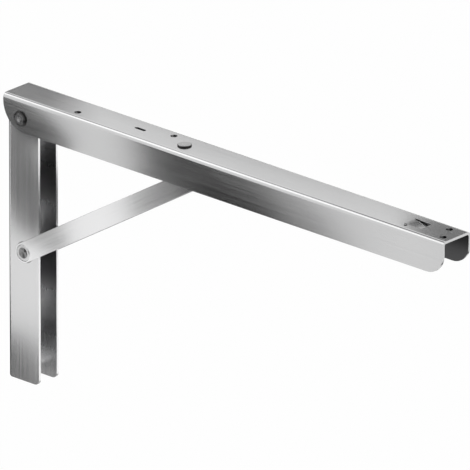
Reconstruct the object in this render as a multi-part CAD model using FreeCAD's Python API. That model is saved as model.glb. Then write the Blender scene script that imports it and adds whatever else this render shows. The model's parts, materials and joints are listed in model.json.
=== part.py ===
"""Folding drop leaf table bracket: wall channel, leaf arm, two-bar strut and its catch, in millimetres.

X runs out from the wall, Y across the bracket, Z up.
The origin is the middle of the wall channel's back face.
The bracket is drawn open, with the arm level and the strut's roller held by the catch.
"""
import FreeCAD, Part
import math
import os

V = FreeCAD.Vector

# Driving dimensions
SHEET = 1.8                 # steel sheet of both channels and the strut bars
BEND_R = 3.0                # outside radius of the folds
ARM_LENGTH = 397.0          # leaf arm, end to end
ARM_WIDTH = 27.5            # across the outside of the arm's flanges
ARM_HEIGHT = 24.4           # flange height, top of web to lower edge
WALL_HEIGHT = 204.5         # wall channel, top to bottom
WALL_DEPTH = 28.5           # wall channel, back face to flange edges
STRUT_WIDTH = 14.0          # strut bar, edge to edge
STRUT_ANGLE = 31.65         # strut above the level when open, degrees

# Fits
SIDE_GAP = 0.25             # between neighbouring sheets that slide past each other
PIN_GAP = 0.05              # radial running clearance on the pins
SEAT_GAP = 0.2              # end float of spacers and bushes
ROLL_GAP = 0.3              # roller to web and catch
WALL_GAP = 0.3              # arm's rear end to the wall plane
FOLDED_GAP = 0.5            # arm's web to the wall flanges when folded
LUG_GAP = 0.15              # catch's lug in its slot

# Pivots
ARM_PIVOT_DROP = 14.5       # arm pivot below the arm's top
ARM_PIN_R = 4.0
ARM_HEAD_R = 5.0
ARM_HEAD_H = 1.7
ARM_HEAD_DIMPLE_R = 2.2
SPACER_R = 6.2              # outside radius of the arm pivot's spacers and tube
STRUT_PIVOT_X = 16.0        # strut pivot out from the wall
STRUT_PIVOT_DROP = 112.7    # strut pivot below the arm's top
STRUT_RIVET_R = 3.5
STRUT_HEAD_R = 6.0          # flush head sunk in the strut bar
STRUT_HEAD_H = 1.2
STRUT_DISH_R = 3.8          # hollow in the flush head
STRUT_DISH_H = 0.7
TAIL_R = 5.0                # closed rivet end inside the wall channel
TAIL_H = 1.4
ROLLER_DROP = 10.5          # roller axis below the arm's top
ROLLER_WIDTH = 12.0
SLIDE_PIN_R = 4.0           # roller's journal
SLIDE_TENON_R = 3.0         # pin's ends in the strut bars
BUSH_R = 6.0

# Corners and holes
ARM_REAR_R = 19.5           # arm's lower rear corner
ARM_FRONT_R = 14.5          # arm's lower front corner
WALL_CORNER_R = 4.0         # wall channel's lower corners
SCREW_R = 2.4               # leaf and wall screw holes
WALL_SCREW_Z = (70.0, 30.0, -30.0, -70.0)
LEAF_SCREWS = ((61.5, -6.0), (138.0, 6.0), (391.0, -6.5), (385.0, 6.5))
PILOT = (358.4, -7.4, 1.3)  # small hole beside the tongue: place and radius
WEB_RIVET = (155.0, -2.0, 3.0)  # rivet in the arm's web: place and shank radius
WEB_HEAD_R = 4.9
WEB_HEAD_H = 1.3            # stands proud of the web
WEB_SEAT = 0.3              # depth of the spot face under the head
WEB_TAIL_H = 1.0            # closed end under the web
SLOT_X = 113.0              # slot that the catch hangs in
SLOT_LENGTH = 9.5
SLOT_WIDTH = 2.8

# Lanced stop tongue near the free end
TONGUE_X = 355.5            # fold line where it stays joined to the web
TONGUE_LENGTH = 14.0
TONGUE_WIDTH = 9.6
TONGUE_SLIT = 0.9
TONGUE_DIP = 11.0           # degrees below the web

# Catch spring
CATCH_SHEET = 1.0
CATCH_WIDTH = 8.0
CATCH_PAD = 12.0            # held against the web on each side of the slot
CATCH_FLOOR = 24.0          # level run under the roller
CATCH_NOSE_RUN = 9.0        # ramp beyond the catch's wall

# Derived places
ARM_PIVOT_X = WALL_DEPTH + FOLDED_GAP + SHEET - ARM_PIVOT_DROP
CROWN_R = WALL_DEPTH - ARM_PIVOT_X
ARM_PIVOT_Z = WALL_HEIGHT / 2 - CROWN_R
TOP = ARM_PIVOT_Z + ARM_PIVOT_DROP
STRUT_PIVOT_Z = TOP - STRUT_PIVOT_DROP
ROLLER_Z = TOP - ROLLER_DROP
STRUT_LENGTH = (ROLLER_Z - STRUT_PIVOT_Z) / math.sin(math.radians(STRUT_ANGLE))
ROLLER_X = STRUT_PIVOT_X + STRUT_LENGTH * math.cos(math.radians(STRUT_ANGLE))
ROLLER_R = ROLLER_DROP - SHEET - ROLL_GAP
ARM_FACE = ARM_WIDTH / 2                            # arm flange, outer face
ARM_INNER = ARM_FACE - SHEET
BAR_FACE = ARM_INNER - SIDE_GAP                     # strut bar, outer face
BAR_INNER = BAR_FACE - SHEET
WALL_FACE = BAR_INNER - SIDE_GAP                    # wall flange, outer face
WALL_INNER = WALL_FACE - SHEET
SIDES = {"near": -1, "far": 1}


def rounded(points):
    """Closed wire in the XZ plane through (x, z, radius) corners, each one filleted by its radius."""
    count = len(points)
    corners = [V(x, 0, z) for x, z, _ in points]
    arcs, starts, ends = {}, [], []
    for i, here in enumerate(corners):
        radius = points[i][2]
        back = (corners[i - 1] - here).normalize()
        ahead = (corners[(i + 1) % count] - here).normalize()
        half = back.getAngle(ahead) / 2
        cut = radius / math.tan(half)
        starts.append(here + back * cut)
        ends.append(here + ahead * cut)
        if radius > 0:
            middle = (back + ahead).normalize()
            crown = here + middle * (radius / math.sin(half) - radius)
            arcs[i] = Part.Arc(starts[i], crown, ends[i]).toShape()
    outline = []
    for i in range(count):
        if i in arcs:
            outline.append(arcs[i])
        following = starts[(i + 1) % count]
        if (following - ends[i]).Length > 1e-6:
            outline.append(Part.makeLine(ends[i], following))
    return Part.Wire(outline)


def slab(points, y0, y1):
    """Plate with a filleted (x, z, radius) outline, from y0 to y1."""
    face = Part.Face(rounded(points))
    face.translate(V(0, y0, 0))
    return face.extrude(V(0, y1 - y0, 0))


def strip(points, thickness, bend, half_width):
    """Bent strip of sheet along (x, z) points in its middle plane, with an inside radius at each bend."""
    path = [V(x, 0, z) for x, z in points]
    runs = [(b - a).normalize() for a, b in zip(path, path[1:])]
    left, right = [], []
    for i, here in enumerate(path):
        before, after = runs[max(i - 1, 0)], runs[min(i, len(runs) - 1)]
        normal = V(-(before.z + after.z), 0, before.x + after.x).normalize()
        reach = thickness / 2 / normal.dot(V(-after.z, 0, after.x))
        turn = before.x * after.z - before.z * after.x
        inside, outside = (bend, bend + thickness) if abs(turn) > 1e-6 else (0, 0)
        left.append((here.x + normal.x * reach, here.z + normal.z * reach, inside if turn > 0 else outside))
        right.append((here.x - normal.x * reach, here.z - normal.z * reach, outside if turn > 0 else inside))
    return slab(left + right[::-1], -half_width, half_width)


def across(x, z, radius, y0, y1):
    """Round bar along Y from y0 to y1."""
    return Part.makeCylinder(radius, y1 - y0, V(x, y0, z), V(0, 1, 0))


def ring(x, z, outer, inner, y0, y1):
    """Round tube along Y from y0 to y1."""
    return across(x, z, outer, y0, y1).cut(across(x, z, inner, y0, y1))


def turned(x, z, outline):
    """Solid turned about an axis along Y, from its (y, radius) outline, which starts and ends on the axis."""
    wire = Part.makePolygon([V(x + r, y, z) for y, r in outline + outline[:1]])
    return Part.Face(wire).revolve(V(x, 0, z), V(0, 1, 0), 360)


def on_side(shape, side):
    """Shape drawn for the far side (+Y), mirrored when it is for the near side."""
    return shape if side > 0 else shape.mirror(V(0, 0, 0), V(0, 1, 0))


def channel(width, depth, length, middle, turn):
    """Folded U of sheet: web in the local XY plane, flanges down by depth, length along local Y."""
    def section(half, top, bottom, radius):
        corners = [(-half, bottom, 0), (-half, top, radius), (half, top, radius), (half, bottom, 0)]
        return slab(corners, -length / 2, length / 2)
    hollow = section(width / 2 - SHEET, -SHEET, -depth - SHEET, BEND_R - SHEET)
    shape = section(width / 2, 0, -depth, BEND_R).cut(hollow)
    shape.Placement = FreeCAD.Placement(middle, turn)
    return shape


def wall_channel():
    """U against the wall, its flange tops rounded about the arm pivot so that the folding web passes."""
    half = WALL_HEIGHT / 2
    turn = FreeCAD.Rotation(V(0, 1, 0), V(0, 0, -1), V(-1, 0, 0), "ZXY")
    outline = [
        (0, -half, WALL_CORNER_R),
        (0, half, 0),
        (WALL_DEPTH, half, CROWN_R),
        (WALL_DEPTH, -half, WALL_CORNER_R),
    ]
    shape = channel(2 * WALL_FACE, WALL_DEPTH, WALL_HEIGHT, V(0, 0, 0), turn)
    shape = shape.common(slab(outline, -WALL_FACE, WALL_FACE))
    shape = shape.cut(across(ARM_PIVOT_X, ARM_PIVOT_Z, ARM_PIN_R + PIN_GAP, -ARM_FACE, ARM_FACE))
    shape = shape.cut(across(STRUT_PIVOT_X, STRUT_PIVOT_Z, STRUT_RIVET_R + PIN_GAP, -ARM_FACE, ARM_FACE))
    for z in WALL_SCREW_Z:
        shape = shape.cut(Part.makeCylinder(SCREW_R, 3 * SHEET, V(-SHEET, 0, z), V(1, 0, 0)))
    return shape


def web_cuts():
    """Punched through the arm's web: screw holes, pilot, rivet hole and seat, catch slot, tongue window."""
    floor, depth = TOP - 2 * SHEET, 3 * SHEET
    x, y, shank = WEB_RIVET
    cuts = [(x, y, SCREW_R) for x, y in LEAF_SCREWS] + [PILOT, (x, y, shank + PIN_GAP)]
    shapes = [Part.makeCylinder(r, depth, V(x, y, floor)) for x, y, r in cuts]
    shapes.append(Part.makeCylinder(WEB_HEAD_R + PIN_GAP, SHEET, V(x, y, TOP - WEB_SEAT)))
    straight = SLOT_LENGTH - SLOT_WIDTH
    for end in (-1, 1):
        shapes.append(Part.makeCylinder(SLOT_WIDTH / 2, depth, V(SLOT_X + end * straight / 2, 0, floor)))
    shapes.append(Part.makeBox(straight, SLOT_WIDTH, depth, V(SLOT_X - straight / 2, -SLOT_WIDTH / 2, floor)))
    window = TONGUE_WIDTH + 2 * TONGUE_SLIT
    shapes.append(Part.makeBox(TONGUE_LENGTH + TONGUE_SLIT, window, depth, V(TONGUE_X, -window / 2, floor)))
    return shapes


def stop_tongue():
    """Tongue lanced on three sides and pressed down about its fold line, into the roller's way."""
    corner = V(TONGUE_X, -TONGUE_WIDTH / 2, TOP - SHEET)
    tongue = Part.makeBox(TONGUE_LENGTH, TONGUE_WIDTH, SHEET, corner)
    tongue.rotate(V(TONGUE_X, 0, TOP), V(0, 1, 0), TONGUE_DIP)
    return tongue


def arm_channel():
    """U under the leaf, web on top, with large lower corners that swing clear of the wall."""
    rear, front, lower = WALL_GAP, WALL_GAP + ARM_LENGTH, TOP - ARM_HEIGHT
    turn = FreeCAD.Rotation(V(0, 1, 0), V(-1, 0, 0), V(0, 0, 1), "ZXY")
    outline = [(rear, TOP, 0), (front, TOP, 0), (front, lower, ARM_FRONT_R), (rear, lower, ARM_REAR_R)]
    shape = channel(ARM_WIDTH, ARM_HEIGHT, ARM_LENGTH, V((rear + front) / 2, 0, TOP), turn)
    shape = shape.common(slab(outline, -ARM_FACE, ARM_FACE))
    shape = shape.cut(across(ARM_PIVOT_X, ARM_PIVOT_Z, ARM_PIN_R + PIN_GAP, -ARM_WIDTH, ARM_WIDTH))
    return shape.cut(web_cuts()).fuse(stop_tongue()).removeSplitter()


def strut_bar():
    """Far bar of the strut: round ends about the two pivots, with a sunk seat for the rivet's flush head."""
    half = STRUT_WIDTH / 2
    outline = [
        (-half, -half, half),
        (STRUT_LENGTH + half, -half, half),
        (STRUT_LENGTH + half, half, half),
        (-half, half, half),
    ]
    shape = slab(outline, BAR_INNER, BAR_FACE)
    shape.rotate(V(0, 0, 0), V(0, 1, 0), -STRUT_ANGLE)
    shape.translate(V(STRUT_PIVOT_X, 0, STRUT_PIVOT_Z))
    shape = shape.cut(across(STRUT_PIVOT_X, STRUT_PIVOT_Z, STRUT_RIVET_R + PIN_GAP, 0, ARM_WIDTH))
    seat = BAR_FACE - STRUT_HEAD_H - SEAT_GAP / 2
    shape = shape.cut(across(STRUT_PIVOT_X, STRUT_PIVOT_Z, STRUT_HEAD_R + PIN_GAP, seat, ARM_WIDTH))
    return shape.cut(across(ROLLER_X, ROLLER_Z, SLIDE_TENON_R + PIN_GAP, 0, ARM_WIDTH))


def arm_pivot_pin():
    """Pin through both channels, closed on the arm's outer faces by low heads with a dimple in each."""
    ease = ARM_HEAD_H / 3
    tip = ARM_FACE + ARM_HEAD_H
    head = [
        (ARM_FACE, ARM_PIN_R),
        (ARM_FACE, ARM_HEAD_R),
        (tip - ease, ARM_HEAD_R),
        (tip, ARM_HEAD_R - 2 * ease),
        (tip, ARM_HEAD_DIMPLE_R),
        (tip - ease, 0),
    ]
    mirrored = [(-y, r) for y, r in reversed(head)]
    return turned(ARM_PIVOT_X, ARM_PIVOT_Z, mirrored + head)


def strut_pivot_rivet():
    """Far rivet of the strut: flush dished head in the bar, shank through the wall flange, closed inside."""
    sphere_r = (STRUT_DISH_R ** 2 + STRUT_DISH_H ** 2) / (2 * STRUT_DISH_H)
    ease = TAIL_H / 2
    shape = turned(STRUT_PIVOT_X, STRUT_PIVOT_Z, [
        (WALL_INNER - TAIL_H, 0),
        (WALL_INNER - TAIL_H, TAIL_R - ease),
        (WALL_INNER - ease, TAIL_R),
        (WALL_INNER, TAIL_R),
        (WALL_INNER, STRUT_RIVET_R),
        (BAR_FACE - STRUT_HEAD_H, STRUT_RIVET_R),
        (BAR_FACE - STRUT_HEAD_H, STRUT_HEAD_R),
        (BAR_FACE - STRUT_HEAD_H / 3, STRUT_HEAD_R),
        (BAR_FACE, STRUT_HEAD_R - STRUT_HEAD_H / 2),
        (BAR_FACE, 0),
    ])
    centre = V(STRUT_PIVOT_X, BAR_FACE + sphere_r - STRUT_DISH_H, STRUT_PIVOT_Z)
    return shape.cut(Part.makeSphere(sphere_r, centre))


def slide_pin():
    """Roller's pin, shouldered against the bars' inner faces, its thinner ends flush in the bars."""
    end = BAR_FACE - SEAT_GAP / 4
    half = [(BAR_INNER, SLIDE_PIN_R), (BAR_INNER, SLIDE_TENON_R), (end, SLIDE_TENON_R), (end, 0)]
    mirrored = [(-y, r) for y, r in reversed(half)]
    return turned(ROLLER_X, ROLLER_Z, mirrored + half)


def web_rivet():
    """Rivet through the arm's web: low pan head in a spot face on the leaf side, closed end inside."""
    x, y, shank = WEB_RIVET
    under, seat, tip = TOP - SHEET, TOP - WEB_SEAT, TOP + WEB_HEAD_H
    ease = WEB_HEAD_H / 4
    shape = turned(0, 0, [
        (under - WEB_TAIL_H, 0),
        (under - WEB_TAIL_H, WEB_HEAD_R - WEB_TAIL_H),
        (under, WEB_HEAD_R - WEB_TAIL_H / 2),
        (under, shank),
        (seat, shank),
        (seat, WEB_HEAD_R),
        (tip - 2 * ease, WEB_HEAD_R),
        (tip - ease, WEB_HEAD_R - ease),
        (tip, WEB_HEAD_R - 3 * ease),
        (tip, 0),
    ])
    shape.rotate(V(0, 0, 0), V(1, 0, 0), 90)
    shape.translate(V(x, y, 0))
    return shape


def catch_spring():
    """Spring strip hung from the web's slot: dips under the roller, then stands up as a wall and ramp."""
    pad = TOP - SHEET - CATCH_SHEET / 2
    floor = ROLLER_Z - ROLLER_R - ROLL_GAP - CATCH_SHEET / 2
    wall = ROLLER_X + ROLLER_R + ROLL_GAP + CATCH_SHEET / 2
    path = [
        (SLOT_X - CATCH_PAD, pad),
        (SLOT_X + CATCH_PAD, pad),
        (wall - CATCH_FLOOR, floor),
        (wall, floor),
        (wall, ROLLER_Z),
        (wall + CATCH_NOSE_RUN, floor),
    ]
    shape = strip(path, CATCH_SHEET, CATCH_SHEET, CATCH_WIDTH / 2)
    length = SLOT_LENGTH - SLOT_WIDTH - 2 * LUG_GAP
    height = SHEET / 2 + CATCH_SHEET
    under = pad - CATCH_SHEET / 2
    start = SLOT_X - length / 2
    lug = Part.makeBox(length, CATCH_SHEET, height, V(start, -CATCH_SHEET / 2, under))
    opening = Part.makeBox(length, height - CATCH_SHEET, CATCH_SHEET, V(start, CATCH_SHEET / 2, under))
    return shape.cut(opening).fuse(lug).removeSplitter()


def build():
    """Every piece of the bracket, by node name."""
    tube = ring(ARM_PIVOT_X, ARM_PIVOT_Z, SPACER_R, ARM_PIN_R + 2 * PIN_GAP, -WALL_INNER, WALL_INNER)
    spacer = ring(ARM_PIVOT_X, ARM_PIVOT_Z, SPACER_R, ARM_PIN_R + PIN_GAP, WALL_FACE + SEAT_GAP, ARM_INNER)
    bush = ring(ROLLER_X, ROLLER_Z, BUSH_R, SLIDE_PIN_R + PIN_GAP, ROLLER_WIDTH / 2 + SEAT_GAP, BAR_INNER)
    half = ROLLER_WIDTH / 2
    pieces = {
        "wall_channel": wall_channel(),
        "arm_channel": arm_channel(),
        "arm_pivot_pin": arm_pivot_pin(),
        "arm_pivot_tube": tube,
        "slide_pin": slide_pin(),
        "slide_roller": ring(ROLLER_X, ROLLER_Z, ROLLER_R, SLIDE_PIN_R + PIN_GAP, -half, half),
        "web_rivet": web_rivet(),
        "catch_spring": catch_spring(),
    }
    paired = {
        "strut_bar": strut_bar(),
        "strut_pivot_rivet": strut_pivot_rivet(),
        "arm_pivot_spacer": spacer,
        "slide_bush": bush,
    }
    for name, shape in paired.items():
        for place, side in SIDES.items():
            pieces[f"{name}_{place}"] = on_side(shape, side)
    return pieces


os.makedirs("parts", exist_ok=True)
for name, shape in build().items():
    shape.exportStep(f"parts/{name}.step")
    print(name, len(shape.Solids), "solid,", round(shape.Volume), "mm3")
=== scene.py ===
# %% [markdown]
# # A folding drop leaf table bracket in bright plated steel
# The bracket is four moving bodies of folded sheet: a wall channel, a leaf arm, a strut of two
# bars, and a roller that the strut pushes along under the arm. The solids come from the CAD model
# and are never moved here. This lesson gives them rounded sheet edges, plated finishes and a small
# studio that polished metal can reflect.

# %% Load the CAD model as a fixed frame
import json
import math
import bmesh
import bpy
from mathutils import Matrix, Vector


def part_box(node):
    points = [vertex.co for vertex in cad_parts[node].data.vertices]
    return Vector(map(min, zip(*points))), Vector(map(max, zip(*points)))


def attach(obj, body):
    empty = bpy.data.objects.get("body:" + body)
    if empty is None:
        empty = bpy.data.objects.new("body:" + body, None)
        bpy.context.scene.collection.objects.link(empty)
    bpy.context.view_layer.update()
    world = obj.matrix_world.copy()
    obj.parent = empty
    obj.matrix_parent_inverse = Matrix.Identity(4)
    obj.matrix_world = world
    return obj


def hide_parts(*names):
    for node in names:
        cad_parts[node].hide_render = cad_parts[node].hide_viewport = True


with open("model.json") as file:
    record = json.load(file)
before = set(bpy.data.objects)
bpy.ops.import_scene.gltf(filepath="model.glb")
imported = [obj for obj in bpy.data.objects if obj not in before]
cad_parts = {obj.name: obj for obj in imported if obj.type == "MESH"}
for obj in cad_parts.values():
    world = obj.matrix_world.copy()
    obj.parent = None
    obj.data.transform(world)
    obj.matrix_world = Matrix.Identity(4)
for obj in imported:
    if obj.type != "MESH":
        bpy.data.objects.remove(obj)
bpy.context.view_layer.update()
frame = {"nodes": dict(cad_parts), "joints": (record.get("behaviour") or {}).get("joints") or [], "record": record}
nodes = frame["nodes"]

# %% [markdown]
# ## The camera
# The picture was taken from far away with a long lens, so parallel edges stay almost parallel. A
# camera could be placed by eye, but here its direction was fitted to the arm's corners and the
# pivots, then written down as an azimuth, an elevation and a point that sits in the middle of the
# picture.

# %% Place the camera
AZIMUTH, ELEVATION = math.radians(42.426), math.radians(22.103)
AIM = Vector((0.19879, 0.0, 0.05152))
DISTANCE = 14.262
LENS = 1636.5

to_camera = Vector((math.sin(AZIMUTH) * math.cos(ELEVATION),
                    -math.cos(AZIMUTH) * math.cos(ELEVATION),
                    math.sin(ELEVATION)))
camera = bpy.data.objects.new("camera", bpy.data.cameras.new("camera"))
camera.data.lens = LENS
camera.data.sensor_width = 36.0
camera.data.clip_end = 100.0
camera.location = AIM + to_camera * DISTANCE
camera.rotation_euler = to_camera.to_track_quat("Z", "Y").to_euler()
bpy.context.scene.collection.objects.link(camera)
bpy.context.scene.camera = camera
print("camera at", [round(v, 2) for v in camera.location])

# %% [markdown]
# ## Writing node trees as expressions
# A finish is a small sum: how bright, how rough, how bumpy. Clicking dozens of Math nodes together
# hides that sum. The class below wraps one output socket, so `0.2 + 0.05 * grain` adds the Math
# nodes by itself, and every other kind of node comes from a single method.

# %% A socket that understands arithmetic
class Wire:
    """An output socket of a node tree. Operators on it add Math nodes; node() adds any other node."""

    def __init__(self, tree, socket=None):
        self.tree = tree
        self.socket = socket

    def node(self, kind, settings=None, inputs=None, output=0):
        made = self.tree.nodes.new(kind)
        for name, value in (settings or {}).items():
            setattr(made, name, value)
        for name, value in (inputs or {}).items():
            if isinstance(value, Wire):
                self.tree.links.new(value.socket, made.inputs[name])
            else:
                made.inputs[name].default_value = value
        return Wire(self.tree, made.outputs[output] if len(made.outputs) else None)

    def math(self, operation, *values):
        return self.node("ShaderNodeMath", {"operation": operation}, dict(enumerate(values)))

    def __add__(self, other):
        return self.math("ADD", self, other)

    def __rsub__(self, other):
        return self.math("SUBTRACT", other, self)

    def __mul__(self, other):
        return self.math("MULTIPLY", self, other)

    def __gt__(self, other):
        return self.math("GREATER_THAN", self, other)

    def __lt__(self, other):
        return self.math("LESS_THAN", self, other)

    __radd__ = __add__
    __rmul__ = __mul__


print("Wire class ready")

# %% [markdown]
# ## Bright plated sheet
# The channels and bars are cold-rolled strip, polished and plated. Rolling leaves very fine lines
# along the strip, plating leaves soft cloudy patches, and down inside a channel shade is painted
# into the colour, which is also made rougher there. The painted shade changes along the channel, so
# the inside has lighter and darker stretches. Round a bar or a head that turns on the sheet, a
# narrow dark ring stands for oil and painted contact shadow. One function makes the finish for any
# strip: a Mapping node turns the lines along that strip, and a mask on Object coordinates finds the
# inside of the channel. Noise is stretched instead of drawn, so no two lines are the same.

# %% What every metal finish shares
def new_finish(name):
    """An empty material and the Wire that starts its node tree."""
    finish = bpy.data.materials.new(name)
    finish.use_nodes = True
    finish.node_tree.nodes.clear()
    return finish, Wire(finish.node_tree)


def grey(level, blue=1.0):
    """A neutral colour; blue above 1 makes it a little colder."""
    return (level, level, blue * level, 1.0)


def mix_colour(start, share, first, second):
    """The first colour where share is 0, the second where it is 1 (a Mix node's colour sockets: 6, 7, 2)."""
    return start.node("ShaderNodeMix", {"data_type": "RGBA"}, {0: share, 6: first, 7: second}, 2)


def axes(start, place):
    """The X, Y and Z of a vector, as three wires."""
    split = start.node("ShaderNodeSeparateXYZ", {}, {"Vector": place})
    return [Wire(start.tree, socket) for socket in split.socket.node.outputs]


def metal(start, colour, roughness, normal):
    """Ends a tree in a metallic Principled shader."""
    shader = start.node("ShaderNodeBsdfPrincipled", {}, {
        "Base Color": colour, "Metallic": 1.0, "Roughness": roughness, "Normal": normal})
    start.node("ShaderNodeOutputMaterial", {}, {"Surface": shader})


print("helpers for metal finishes ready")

# %% Noise, soft steps and the ring of oil and painted contact shadow
OIL_AND_SHADOW_INSIDE, OIL_AND_SHADOW_FADE = 0.002, 0.0011


def stretched_noise(start, place, scales, detail=3.0):
    """Noise whose grains have a different size along each axis, given in grains per metre."""
    scaled = start.node("ShaderNodeVectorMath", {"operation": "MULTIPLY"}, {0: place, 1: scales})
    return start.node("ShaderNodeTexNoise", {}, {"Vector": scaled, "Scale": 1.0, "Detail": detail})


def soft_step(start, value, zero, one):
    """Smooth change from 0 to 1 while a value goes from `zero` to `one`."""
    return start.node("ShaderNodeMapRange", {"interpolation_type": "SMOOTHSTEP"}, {
        "Value": value, "From Min": zero, "From Max": one})


def oil_and_shadow_line(start, x, z, pivot, radius):
    """1 on a narrow soft ring round a pivot (metres) at the edge of what turns there: oil and painted contact
    shadow.
    """
    dx, dz = x + (-pivot.x), z + (-pivot.z)
    away = x.math("SQRT", dx * dx + dz * dz)
    return soft_step(start, away, radius + OIL_AND_SHADOW_FADE, radius) * (away > radius - OIL_AND_SHADOW_INSIDE)


print("oil lines fade out over", 1000 * OIL_AND_SHADOW_FADE, "mm")

# %% The plated sheet finish
ROLLING_LINES, PLATING_CLOUDS = (14.0, 1500.0, 1500.0), (22.0, 40.0, 40.0)
# The ring round a pivot stands for oil and painted contact shadow.
OIL_AND_SHADOW = (0.06, 0.055, 0.05, 1.0)


def plated_sheet(name, turn, bright, shade_tone, find_shade, oil_and_shadow_rings=()):
    """Plated sheet, rougher and with painted shade inside the channel, with rolling lines along X turned by `turn`
    radians about Y.
    """
    finish, start = new_finish(name)
    here = start.node("ShaderNodeTexCoord", output="Object")
    along = start.node("ShaderNodeMapping", {}, {"Vector": here, "Rotation": (0.0, turn, 0.0)})
    lines = stretched_noise(start, along, ROLLING_LINES)
    clouds = stretched_noise(start, along, PLATING_CLOUDS, 2.0)
    x, y, z = axes(start, here)
    inside = find_shade(x, y.math("ABSOLUTE", y), z)
    low, high = grey(0.83 * bright, 1.01), grey(1.05 * bright)
    plating = mix_colour(start, 0.4 * clouds + 0.6 * lines, low, high)
    # Painted shade: inside the channel the colour turns to the dark shade tone.
    colour = mix_colour(start, inside, plating, grey(shade_tone, 1.02))
    # Oil and painted contact shadow: a narrow dark ring round each pivot.
    for pivot, radius in oil_and_shadow_rings:
        colour = mix_colour(start, 0.8 * oil_and_shadow_line(start, x, z, pivot, radius), colour, OIL_AND_SHADOW)
    roughness = 0.12 + 0.08 * lines + 0.06 * clouds + 0.14 * inside
    bump = start.node("ShaderNodeBump", {}, {
        "Strength": 0.25, "Distance": 0.0001, "Height": 0.02 * lines + 0.5 * clouds})
    metal(start, colour, roughness, bump)
    return finish


print("plated sheet ready")

# %% Where shade is painted inside the arm
SHEET = 0.0018


def channel_depth(node):
    """Outer half width of a sheet piece, in metres."""
    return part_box(node)[1][1]


IN_THE_SHEET, BELOW_THE_TOP, BEFORE_THE_END = 0.0003, 0.0002, 0.0004
arm_inner = channel_depth("arm_channel") - SHEET + IN_THE_SHEET
arm_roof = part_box("arm_channel")[1][2] - BELOW_THE_TOP
arm_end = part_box("arm_channel")[1][0] - BEFORE_THE_END
TONGUE_START, TONGUE_END, TONGUE_HALF = 0.3550, 0.3697, 0.0049
# Where the painted shade inside the arm is lighter, and how often it comes again.
CATCH_AT, ARM_PATCH = 0.17, 0.42


def patches(along, middle, length):
    """1 at the middle of a lighter stretch of the painted shade, which comes again after each length (metres)."""
    turns = (2 * math.pi / length) * (along + (-middle))
    return 0.5 + 0.5 * along.math("COSINE", turns)


def arm_shade(x, y, z):
    """Painted shade: 1 inside the arm and in its holes, less near the catch; 0 on the stop tongue, part of the
    web.
    """
    tongue = (x > TONGUE_START) * (x < TONGUE_END) * (y < TONGUE_HALF)
    shade_strength = 1 - 0.75 * patches(x, CATCH_AT, ARM_PATCH)
    return (y < arm_inner) * (z < arm_roof) * (x < arm_end) * (1 - tongue) * shade_strength


print("arm: inner half width", round(1000 * arm_inner, 2), "mm")

# %% Where shade is painted inside the wall channel and the strut
wall_inner = channel_depth("wall_channel") - SHEET + IN_THE_SHEET
bar_inner = channel_depth("strut_bar_far") - SHEET + IN_THE_SHEET
# The painted shade inside the wall channel is lighter in stretches and towards its lower end.
WALL_PATCH_AT, WALL_PATCH = 0.0076, 0.062
LIGHTER_BELOW_STARTS, LIGHTER_BELOW_ENDS = -0.068, -0.100


def wall_shade(x, y, z):
    """Painted shade: 1 inside the wall channel, less in lighter stretches and towards its lower end."""
    lighter_below = soft_step(z, z, LIGHTER_BELOW_STARTS, LIGHTER_BELOW_ENDS)
    shade_strength = 1 - patches(z, WALL_PATCH_AT, WALL_PATCH)
    return (y < wall_inner) * (x > 0.6 * SHEET) * shade_strength * (1 - lighter_below)


def bar_shade(x, y, z):
    """Painted shade: 1 on the face of a strut bar that looks into the bracket."""
    return (y < bar_inner) * 1.0


print("inner half widths in mm:", [round(1000 * v, 2) for v in (wall_inner, bar_inner)])

# %% The plated finishes of the arm, the wall channel and the strut
PIN_HEAD, BAR_END = 0.0050, 0.0070
joint_at = {joint["name"]: Vector(joint["pos_m"]) for joint in frame["joints"]}
strut_line = joint_at["roller_spin"] - joint_at["strut_swing"]
strut_angle = math.atan2(strut_line.z, strut_line.x)

# One plated steel on all three pieces; its brightness and shade tone are set apart on each piece to match how
# light each looks: painted light and shade.
arm_sheet = plated_sheet("plated_sheet_arm", turn=0.0, bright=0.66, shade_tone=0.09,
                         find_shade=arm_shade, oil_and_shadow_rings=[(joint_at["arm_fold"], PIN_HEAD)])
wall_sheet = plated_sheet("plated_sheet_wall", turn=math.pi / 2, bright=0.78, shade_tone=0.32,
                          find_shade=wall_shade, oil_and_shadow_rings=[(joint_at["strut_swing"], BAR_END)])
bar_sheet = plated_sheet("plated_sheet_strut", turn=strut_angle, bright=0.93, shade_tone=0.25,
                         find_shade=bar_shade)
print("plated finishes:", [finish.name for finish in (arm_sheet, wall_sheet, bar_sheet)])
print("strut slope:", round(math.degrees(strut_angle), 2), "degrees")

# %% [markdown]
# ## Turned steel
# Pins, rivets, bushes and the roller are cut on a lathe or closed by a spinning tool, so their
# marks run in circles round the pin's own axis. A Mapping node moves that axis to the origin, and
# noise that depends only on the distance from it gives rings. The same distance tells where shade is
# painted: under the rim of a head, or in the closed end of a rivet. Each pivot needs its own centre,
# so the finish is made once for each one.

# %% The turned steel finish
RINGS, RINGS_ALONG = 3200.0, 900.0
STEEL_CLOUDS = (160.0, 160.0, 160.0)
SHADE_BAND_STARTS, SHADE_BAND_ENDS = 0.0006, 0.0010


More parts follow.
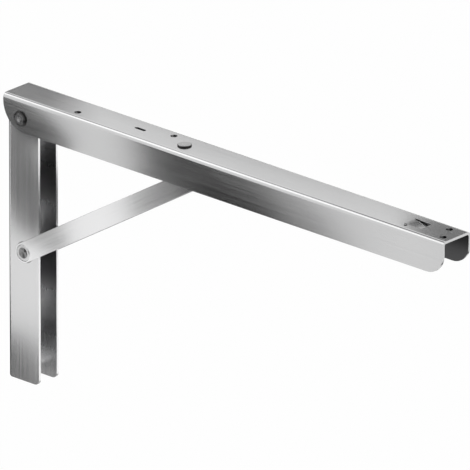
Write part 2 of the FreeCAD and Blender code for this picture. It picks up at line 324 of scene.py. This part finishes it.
def turned_steel(name, axis_node, bright, rough, shade_band=None, upright=False):
    """Steel with lathe rings round an axis through the middle of a node, along Y, or along Z when upright.

    The fifth argument gives two radii in metres and the tone of the shade painted between them.
    """
    finish, start = new_finish(name)
    low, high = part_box(axis_node)
    middle = [-(low[i] + high[i]) / 2 for i in range(3)]
    here = start.node("ShaderNodeTexCoord", output="Object")
    centred = start.node("ShaderNodeMapping", {}, {"Vector": here, "Location": middle})
    x, y, z = axes(start, centred)
    side, along = (y, z) if upright else (z, y)
    away = x.math("SQRT", x * x + side * side)
    rings = start.node("ShaderNodeTexNoise", {"noise_dimensions": "1D"}, {
        "W": away * RINGS + along * RINGS_ALONG, "Scale": 1.0})
    clouds = stretched_noise(start, here, STEEL_CLOUDS, 2.0)
    colour = mix_colour(start, clouds, grey(0.78 * bright, 1.01), grey(bright))
    bump = start.node("ShaderNodeBump", {}, {"Strength": 0.35, "Distance": 0.00005, "Height": rings})
    # Painted shade: between the two radii the colour turns to the dark tone.
    if shade_band:
        inner, outer, tone = shade_band
        past_inner = soft_step(start, away, inner - SHADE_BAND_STARTS, inner)
        before_outer = soft_step(start, away, outer + SHADE_BAND_ENDS, outer)
        colour = mix_colour(start, past_inner * before_outer, colour, grey(tone))
    metal(start, colour, rough + 0.12 * rings + 0.06 * clouds, bump)
    return finish


print("turned steel ready")

# %% The finishes of the pins, rivets and the roller
# Painted shade: dark rims round the heads of the arm pivot pin and the web rivet, a dark dish in the strut rivet,
# and a low brightness that makes the arm pivot pin read shaded.
SHADED_RIM_OF_PIN = (0.0043, 0.02, 0.05)
SHADED_RIM_OF_WEB_RIVET = (0.0047, 0.02, 0.035)
SHADED_DISH_OF_RIVET = (0.0, 0.0034, 0.27)
FINISHES = {
    "arm_pivot_pin": turned_steel("pin_steel_arm_pivot", "arm_pivot_pin", 0.30, 0.18, SHADED_RIM_OF_PIN),
    "arm_pivot_tube": turned_steel("tube_steel_arm_pivot", "arm_pivot_pin", 0.50, 0.28),
    "strut_pivot_rivet_near": turned_steel(
        "rivet_steel_strut_pivot", "strut_pivot_rivet_near", 0.80, 0.14, SHADED_DISH_OF_RIVET),
    "web_rivet": turned_steel("rivet_steel_web", "web_rivet", 0.52, 0.16, SHADED_RIM_OF_WEB_RIVET, True),
    "slide_pin": turned_steel("pin_steel_roller", "slide_pin", 0.62, 0.18),
    "slide_roller": turned_steel("roller_steel", "slide_roller", 0.56, 0.24),
}
FINISHES["strut_pivot_rivet_far"] = FINISHES["strut_pivot_rivet_near"]
for side in ("near", "far"):
    FINISHES["arm_pivot_spacer_" + side] = FINISHES["arm_pivot_tube"]
    FINISHES["slide_bush_" + side] = FINISHES["slide_pin"]
print("turned finishes:", sorted({finish.name for finish in FINISHES.values()}))

# %% [markdown]
# ## Spring steel
# The catch under the arm is a bent strip of hardened spring steel. Tempering leaves it darker and a
# little blue-grey, with straight rolling lines. The mesh stays the CAD one because the strip flexes
# when the bracket folds.

# %% The spring steel finish
def spring_steel(name):
    """Tempered strip: dark blue-grey with rolling lines along X."""
    finish, start = new_finish(name)
    here = start.node("ShaderNodeTexCoord", output="Object")
    lines = stretched_noise(start, here, (20.0, 1800.0, 1800.0))
    tint = stretched_noise(start, here, (90.0, 60.0, 60.0), 2.0)
    colour = mix_colour(start, tint, (0.19, 0.20, 0.225, 1.0), (0.34, 0.34, 0.345, 1.0))
    bump = start.node("ShaderNodeBump", {}, {"Strength": 0.3, "Distance": 0.0001, "Height": lines})
    metal(start, colour, 0.22 + 0.14 * lines, bump)
    return finish


FINISHES["catch_spring"] = spring_steel("tempered_spring_steel")
print("spring finish:", FINISHES["catch_spring"].name)

# %% Dress the turned pieces and the spring
def dress(node, finish):
    """Gives a CAD node one finish."""
    nodes[node].data.materials.clear()
    nodes[node].data.materials.append(finish)


for node, finish in FINISHES.items():
    dress(node, finish)
print("dressed", len(FINISHES), "CAD nodes")

# %% [markdown]
# ## Sheet edges that have been tumbled
# Stamped sheet is tumbled before plating, which rounds every cut edge by a quarter of a millimetre.
# That tiny radius is what draws the thin white lines along the flanges and round the holes. The CAD
# solids are left sharp, so each sheet piece is shown by a copy: loose triangles merged, flat faces
# joined, and a Bevel modifier on every sharp edge.

# %% How a sheet piece gets its round edges
EDGE = 0.00028


def tumbled_copy(node, finish):
    """A copy of a node's mesh with every sharp edge rounded, standing for that node."""
    mesh = nodes[node].data.copy()
    work = bmesh.new()
    work.from_mesh(mesh)
    bmesh.ops.remove_doubles(work, verts=work.verts, dist=2e-6)
    bmesh.ops.dissolve_limit(work, angle_limit=math.radians(0.5), verts=work.verts, edges=work.edges)
    work.to_mesh(mesh)
    work.free()
    rough = bpy.data.objects.new(node + "_rough", mesh)
    bpy.context.scene.collection.objects.link(rough)
    rounding = rough.modifiers.new("tumbled edges", "BEVEL")
    rounding.width = EDGE
    rounding.segments = 2
    rounding.limit_method = "ANGLE"
    rounding.angle_limit = math.radians(40.0)
    shading = rough.modifiers.new("flat faces stay flat", "WEIGHTED_NORMAL")
    shading.weight = 100
    for face in mesh.polygons:
        face.use_smooth = True
    view_layer = bpy.context.evaluated_depsgraph_get()
    done = bpy.data.meshes.new_from_object(rough.evaluated_get(view_layer), depsgraph=view_layer)
    bpy.data.objects.remove(rough)
    done.materials.clear()
    done.materials.append(finish)
    piece = bpy.data.objects.new(node + "_tumbled", done)
    bpy.context.scene.collection.objects.link(piece)
    return piece


print("edges are rounded by", 1000 * EDGE, "mm")

# %% Round the edges of the four sheet pieces
SHEET_PIECES = {"arm_channel": ("arm", arm_sheet), "wall_channel": ("wall", wall_sheet),
                "strut_bar_near": ("strut", bar_sheet), "strut_bar_far": ("strut", bar_sheet)}
for node, (body, finish) in SHEET_PIECES.items():
    piece = tumbled_copy(node, finish)
    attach(piece, body)
    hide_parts(node)
    print(piece.name, len(piece.data.polygons), "faces")

# %% [markdown]
# ## Punched holes and their collars
# A punch pushes a little metal ahead of it, so every screw hole has a low round collar on the side
# where the punch came out, which is inside the channel. The collar repeats at every hole with the
# hole's own radius and direction. A Geometry Nodes tree does this: one unit ring, placed on a point
# for each hole and scaled by an attribute.

# %% The collar tree
def collar_tree(finish):
    """A tree that puts a ring on every point, sized by `hole_radius` and turned to `hole_axis`."""
    tree = bpy.data.node_groups.new("punched_collars", "GeometryNodeTree")
    tree.interface.new_socket("Holes", in_out="INPUT", socket_type="NodeSocketGeometry")
    height = tree.interface.new_socket("Collar height", in_out="INPUT", socket_type="NodeSocketFloat")
    tree.interface.new_socket("Collars", in_out="OUTPUT", socket_type="NodeSocketGeometry")
    start = Wire(tree)
    holes = start.node("NodeGroupInput", output="Holes")
    share = Wire(tree, holes.socket.node.outputs["Collar height"])
    radius = start.node("GeometryNodeInputNamedAttribute", {"data_type": "FLOAT"}, {"Name": "hole_radius"})
    axis = start.node("GeometryNodeInputNamedAttribute", {"data_type": "FLOAT_VECTOR"}, {"Name": "hole_axis"})
    facing = start.node("FunctionNodeAlignRotationToVector", {"axis": "Z"}, {"Vector": axis})
    rim = start.node("GeometryNodeCurvePrimitiveCircle", {}, {"Resolution": 40, "Radius": 1.0 + share})
    section = start.node("GeometryNodeCurvePrimitiveCircle", {}, {"Resolution": 10, "Radius": share})
    ring = start.node("GeometryNodeCurveToMesh", {}, {"Curve": rim, "Profile Curve": section})
    smooth = start.node("GeometryNodeSetShadeSmooth", {}, {"Geometry": ring})
    placed = start.node("GeometryNodeInstanceOnPoints", {}, {
        "Points": holes, "Instance": smooth, "Rotation": facing, "Scale": radius})
    real = start.node("GeometryNodeRealizeInstances", {}, {"Geometry": placed})
    coated = start.node("GeometryNodeSetMaterial", {}, {"Geometry": real, "Material": finish})
    start.node("NodeGroupOutput", {}, {"Collars": coated})
    return tree, height.identifier


print("collar tree ready")

# %% How collars are put on a row of holes
COLLAR = 0.1
MM = 0.001


def collars(name, body, holes, finish):
    """Rings round holes given as (x, y, z, radius) in millimetres and an axis."""
    mesh = bpy.data.meshes.new(name)
    mesh.from_pydata([[MM * v for v in place[:3]] for place, _ in holes], [], [])
    radii = mesh.attributes.new("hole_radius", "FLOAT", "POINT")
    radii.data.foreach_set("value", [MM * place[3] for place, _ in holes])
    directions = mesh.attributes.new("hole_axis", "FLOAT_VECTOR", "POINT")
    directions.data.foreach_set("vector", [v for _, axis in holes for v in axis])
    points = bpy.data.objects.new(name + "_points", mesh)
    bpy.context.scene.collection.objects.link(points)
    tree, height = collar_tree(finish)
    modifier = points.modifiers.new("collars", "NODES")
    modifier.node_group = tree
    modifier[height] = COLLAR
    view_layer = bpy.context.evaluated_depsgraph_get()
    made = bpy.data.meshes.new_from_object(points.evaluated_get(view_layer), depsgraph=view_layer)
    bpy.data.objects.remove(points)
    piece = bpy.data.objects.new(name, made)
    bpy.context.scene.collection.objects.link(piece)
    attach(piece, body)
    print(name, len(made.polygons), "faces on", len(holes), "holes")


print("a collar's section has", COLLAR, "of its hole's radius")

# %% Collars inside the arm and the wall channel
PILOT_HOLE = (358.4, -7.4, 1.3)
thickness = SHEET / MM
web_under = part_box("arm_channel")[1][2] / MM - thickness
mounts = {mount["name"]: mount for mount in frame["record"]["mounts"]}
leaf_screws = [mounts["leaf_screw_" + place] for place in ("rear", "middle", "front_near", "front_far")]
leaf_holes = [(screw["pos_m"][0] / MM, screw["pos_m"][1] / MM, screw["dims"]["r_mm"])
              for screw in leaf_screws]
outer, inner = (mounts["wall_screws_" + pair]["dims"] for pair in ("outer", "inner"))
wall_holes = [(step * pair["spacing_y_mm"] / 2, pair["hole_r_mm"])
              for pair, step in ((outer, 1), (inner, 1), (inner, -1), (outer, -1))]
leaf_collars = [((x, y, web_under, radius), (0, 0, 1)) for x, y, radius in leaf_holes + [PILOT_HOLE]]
wall_collars = [((thickness, 0, z, radius), (1, 0, 0)) for z, radius in wall_holes]
collars("leaf_hole_collars", "arm", leaf_collars, arm_sheet)
collars("wall_hole_collars", "wall", wall_collars, wall_sheet)

# %% [markdown]
# ## The studio
# Polished metal has hardly any look of its own: it shows what stands round it. The room here is
# plain white for the camera and for reflections, with a ceiling that mirrors a little darker. Dark
# cards, which photographers call flags, give the grey bands. A flag could be moved about by trial,
# but the mirror law places it at once: reflect the line of sight at the spot that should be dark
# and put the card a little way along that line. Only reflections see the flags, so no view is
# blocked.

# %% The floor's finish
def reflection_rays(start):
    """1 for rays from the camera, off a glossy surface or through glass, otherwise 0."""
    rays = start.node("ShaderNodeLightPath").socket.node.outputs
    camera_ray, glossy_ray, clear_ray = (
        Wire(start.tree, rays[name]) for name in ("Is Camera Ray", "Is Glossy Ray", "Is Transmission Ray"))
    return (camera_ray + glossy_ray + clear_ray) > 0.5


WHITE = (1.0, 1.0, 1.0, 1.0)


def white_floor():
    """Matt and pale under light, white to the eye, and clear from below so that low views see past it."""
    finish, start = new_finish("white_floor")
    seen = reflection_rays(start)
    matt = start.node("ShaderNodeBsdfDiffuse", {}, {"Color": grey(0.9)})
    glow = start.node("ShaderNodeEmission", {}, {"Color": WHITE, "Strength": 1.0})
    both = start.node("ShaderNodeMixShader", {}, {0: 0.98 * seen, 1: matt, 2: glow})
    from_below = start.node("ShaderNodeNewGeometry", output="Backfacing")
    clear = start.node("ShaderNodeBsdfTransparent")
    one_sided = start.node("ShaderNodeMixShader", {}, {0: from_below, 1: both, 2: clear})
    start.node("ShaderNodeOutputMaterial", {}, {"Surface": one_sided})
    return finish


print("floor finish ready")

# %% The floor
FLOOR_DROP = 0.72
FLOOR_HALF = 9.0
mesh = bpy.data.meshes.new("floor")
corners = [(-1, -1), (1, -1), (1, 1), (-1, 1)]
mesh.from_pydata([(FLOOR_HALF * x, FLOOR_HALF * y, -FLOOR_DROP) for x, y in corners], [], [(0, 1, 2, 3)])
mesh.materials.append(white_floor())
floor = bpy.data.objects.new("floor", mesh)
bpy.context.scene.collection.objects.link(floor)
print("floor", FLOOR_DROP, "m below the origin")

# %% The white room
CEILING_STARTS, CEILING_ENDS, CEILING_SHADE = 0.72, 0.98, 0.6
ROOM_LIGHT = 0.6
world = bpy.data.worlds.new("white room")
bpy.context.scene.world = world
world.use_nodes = True
world.node_tree.nodes.clear()
start = Wire(world.node_tree)
rays = start.node("ShaderNodeLightPath").socket.node.outputs
mirrored = Wire(world.node_tree, rays["Is Glossy Ray"])
direction = start.node("ShaderNodeTexCoord", output="Generated")
height = start.node("ShaderNodeSeparateXYZ", {}, {"Vector": direction}, "Z")
ceiling = soft_step(start, height, CEILING_STARTS, CEILING_ENDS)
brightness = ROOM_LIGHT + (1 - ROOM_LIGHT) * reflection_rays(start)
level = brightness * (1 - CEILING_SHADE * ceiling * mirrored)
sky = start.node("ShaderNodeBackground", {}, {"Color": WHITE, "Strength": level})
start.node("ShaderNodeOutputWorld", {}, {"Surface": sky})
bpy.context.scene.view_settings.view_transform = "Standard"
print("ceiling shaded in reflections from", CEILING_STARTS, "to", CEILING_ENDS)

# %% How a card is hung
def flag_finish(name, level):
    """A card that shows one grey, however it is lit."""
    finish, start = new_finish(name)
    card = start.node("ShaderNodeEmission", {}, {"Color": grey(level), "Strength": 1.0})
    start.node("ShaderNodeOutputMaterial", {}, {"Surface": card})
    return finish


def hang_card(name, outline, level):
    """A card that only reflections see."""
    mesh = bpy.data.meshes.new(name)
    mesh.from_pydata(outline, [], [tuple(range(len(outline)))])
    mesh.materials.append(flag_finish(name + "_card", level))
    card = bpy.data.objects.new(name, mesh)
    bpy.context.scene.collection.objects.link(card)
    for ray in ("visible_camera", "visible_diffuse", "visible_shadow", "visible_transmission"):
        setattr(card, ray, False)


print("cards ready")

# %% How the mirror law places a flag
def mirrored_sight(normal):
    """Where the camera's line of sight goes after a mirror with this normal."""
    sight = -to_camera
    return sight - 2.0 * sight.dot(normal) * normal


FLAG_POINTS = 32


def flag(name, spot, normal, reach, half_wide, half_tall, level, lean=0.0):
    """An oval card that the camera sees mirrored at `spot` in a face with that normal.

    spot and the half sizes are in millimetres, reach is in metres, and lean slants the oval.
    """
    normal = Vector(normal)
    middle = Vector(spot) * MM + mirrored_sight(normal) * reach
    side = Vector((0.0, 1.0, 0.0)) if normal.x else Vector((1.0, 0.0, 0.0))
    slant = side.cross(normal) + lean * side
    turns = [2 * math.pi * i / FLAG_POINTS for i in range(FLAG_POINTS)]
    outline = [middle + side * (math.cos(t) * half_wide * MM) + slant * (math.sin(t) * half_tall * MM)
               for t in turns]
    hang_card(name, outline, level)
    print(name, [round(v, 3) for v in middle])


print("flags are ovals of", FLAG_POINTS, "points")

# %% The flags
NEAR, TOP, FRONT = (0, -1, 0), (0, 0, 1), (1, 0, 0)
# name, spot, face, reach, half width, half height, grey, lean
flag("flag_arm_rear", (10, -14, 91), NEAR, 0.12, 44, 20, 0.08, 1.4)
flag("flag_arm_middle", (192, -14, 82), NEAR, 0.22, 58, 50, 0.0, 0.9)
flag("flag_arm_shade", (232, -14, 80), NEAR, 0.26, 76, 40, 0.24, 0.9)
flag("flag_wall_head", (11, -14, 38), NEAR, 0.14, 34, 38, 0.16, 0.35)
flag("flag_wall_foot", (12, -14, -108), NEAR, 0.22, 44, 34, 0.15, 0.5)
flag("flag_strut_foot", (42, -12, 8), NEAR, 0.12, 16, 12, 0.40)
flag("flag_strut_head", (138, -12, 62), NEAR, 0.20, 26, 26, 0.30)
flag("flag_web_rear", (-6, 0, 104), TOP, 0.34, 64, 70, 0.10)
flag("flag_web_front", (412, 0, 104), TOP, 0.22, 48, 44, 0.03)
flag("flag_web_far", (200, 34, 104), TOP, 0.24, 190, 32, 0.60)
flag("flag_wall_edges", (28, 0, 24), FRONT, 0.16, 40, 28, 0.22)

# %% [markdown]
# ## Dark cards behind
# On a white ground, bright metal has no outline: its rounded folds mirror the white room and run
# into the background. A thin dark line could be drawn there, but a real studio hangs black card
# behind the object, out of the picture. The folds that turn away from the camera mirror it at a
# glancing angle, and only those turn dark. One card straight behind would do, but from the far side
# the flanges would mirror it in full. So there are two, one to the left of the wall channel's fold
# and one above the arm's far fold, measured across and upward in the picture.

# %% The cards behind
BEHIND, BLACK_CARD = 0.75, 0.03
across = Vector((0, 0, 1)).cross(to_camera).normalized()
upward = to_camera.cross(across)
CARDS_BEHIND = {
    "card_behind_left": ((-1.1, -0.38), (-0.25, -0.38), (-0.25, 0.38), (-1.1, 0.38)),
    "card_behind_above": ((-0.25, 0.26), (0.40, 0.04), (0.40, 0.36), (-0.25, 0.40)),
}
for name, places in CARDS_BEHIND.items():
    outline = [AIM - to_camera * BEHIND + across * a + upward * b for a, b in places]
    hang_card(name, outline, BLACK_CARD)
print("cards behind:", len(CARDS_BEHIND))

# %% [markdown]
# ## Strips for the other views
# From the back or from above, the flags of the main view stand in the wrong places and the metal
# would mirror white only. So dark strips stand round the bracket like a fence: upright ones on both
# sides, level ones behind the wall channel and above the arm. They stay out of the lines that the
# main view mirrors.

# %% The fence of strips
FAR_FENCE = (-0.28, -0.06, 0.17, 0.46)
NEAR_FENCE = (0.26, 0.45, 0.64)
WALL_LEVELS, ABOVE_ARM = (-0.24, 0.04), (0.2, 0.42)
FENCE_AWAY, ABOVE = 0.30, 0.45
UPRIGHT_HALF, WALL_FOLD_HALF, LEVEL_HALF = 0.045, 0.06, 0.05
DARK_STRIP, GREY_STRIP = 0.04, 0.15


def strip(name, sideways, half, start_point, end_point, level):
    """A straight strip from one point to another, `half` metres to each side along `sideways`."""
    a, b, half_width = Vector(start_point), Vector(end_point), Vector(sideways) * half
    hang_card(name, [a - half_width, a + half_width, b + half_width, b - half_width], level)


for i, x in enumerate(FAR_FENCE):
    strip(f"strip_far_{i}", (1, 0, 0), UPRIGHT_HALF,
          (x, FENCE_AWAY, -0.55), (x, FENCE_AWAY, 0.14), DARK_STRIP)
for i, x in enumerate(NEAR_FENCE):
    strip(f"strip_near_{i}", (1, 0, 0), UPRIGHT_HALF,
          (x, -FENCE_AWAY, -0.4), (x, -FENCE_AWAY, 0.2), DARK_STRIP)
strip("strip_wall_fold", (0, 1, 0), WALL_FOLD_HALF,
      (-FENCE_AWAY, -0.05, -0.36), (-FENCE_AWAY, -0.05, 0.12), DARK_STRIP)
for i, z in enumerate(WALL_LEVELS):
    strip(f"strip_wall_{i}", (0, 0, 1), LEVEL_HALF,
          (-FENCE_AWAY, -0.28, z), (-FENCE_AWAY, 0.6, z), DARK_STRIP)
for i, x in enumerate(ABOVE_ARM):
    strip(f"strip_above_{i}", (1, 0, 0), LEVEL_HALF, (x, -0.3, ABOVE), (x, 0.3, ABOVE), GREY_STRIP)

# %% [markdown]
# ## The lamps
# Three soft boxes draw the white lines. One stands where the rounded fold between the arm's top and
# side mirrors it. A tall one is mirrored in the cut front edges of the wall channel, where a flag
# hides its middle, and a low one in their rounded corners. A lamp adds its light to the white room,
# so a weak one is enough. The same mirror law places all.

# %% The soft boxes
def soft_box(name, spot, normal, reach, size, brightness):
    """An area lamp that the camera sees mirrored at `spot` (millimetres) in a surface with that normal.

    reach and size are in metres. The power grows with the lamp's area, so a larger one looks as bright.
    """
    mirrored = mirrored_sight(Vector(normal).normalized())
    data = bpy.data.lights.new(name, "AREA")
    data.shape = "RECTANGLE"
    data.size, data.size_y = size
    data.energy = brightness * math.pi * size[0] * size[1]
    lamp = bpy.data.objects.new(name, data)
    lamp.location = Vector(spot) * MM + mirrored * reach
    lamp.rotation_euler = mirrored.to_track_quat("Z", "Y").to_euler()
    lamp.visible_camera = False
    bpy.context.scene.collection.objects.link(lamp)
    print(name, [round(v, 2) for v in lamp.location], round(data.energy, 1), "W")


# name, spot, normal, reach, size, brightness
soft_box("fold_light", (200, -13, 104), (0, -1, 1), 1.2, (0.9, 0.42), 0.7)
soft_box("front_light", (28, -9, -6), FRONT, 0.32, (0.10, 0.26), 0.32)
soft_box("edge_light", (28, -10, 0), (1, -1, 0), 1.0, (0.16, 0.7), 1.0)
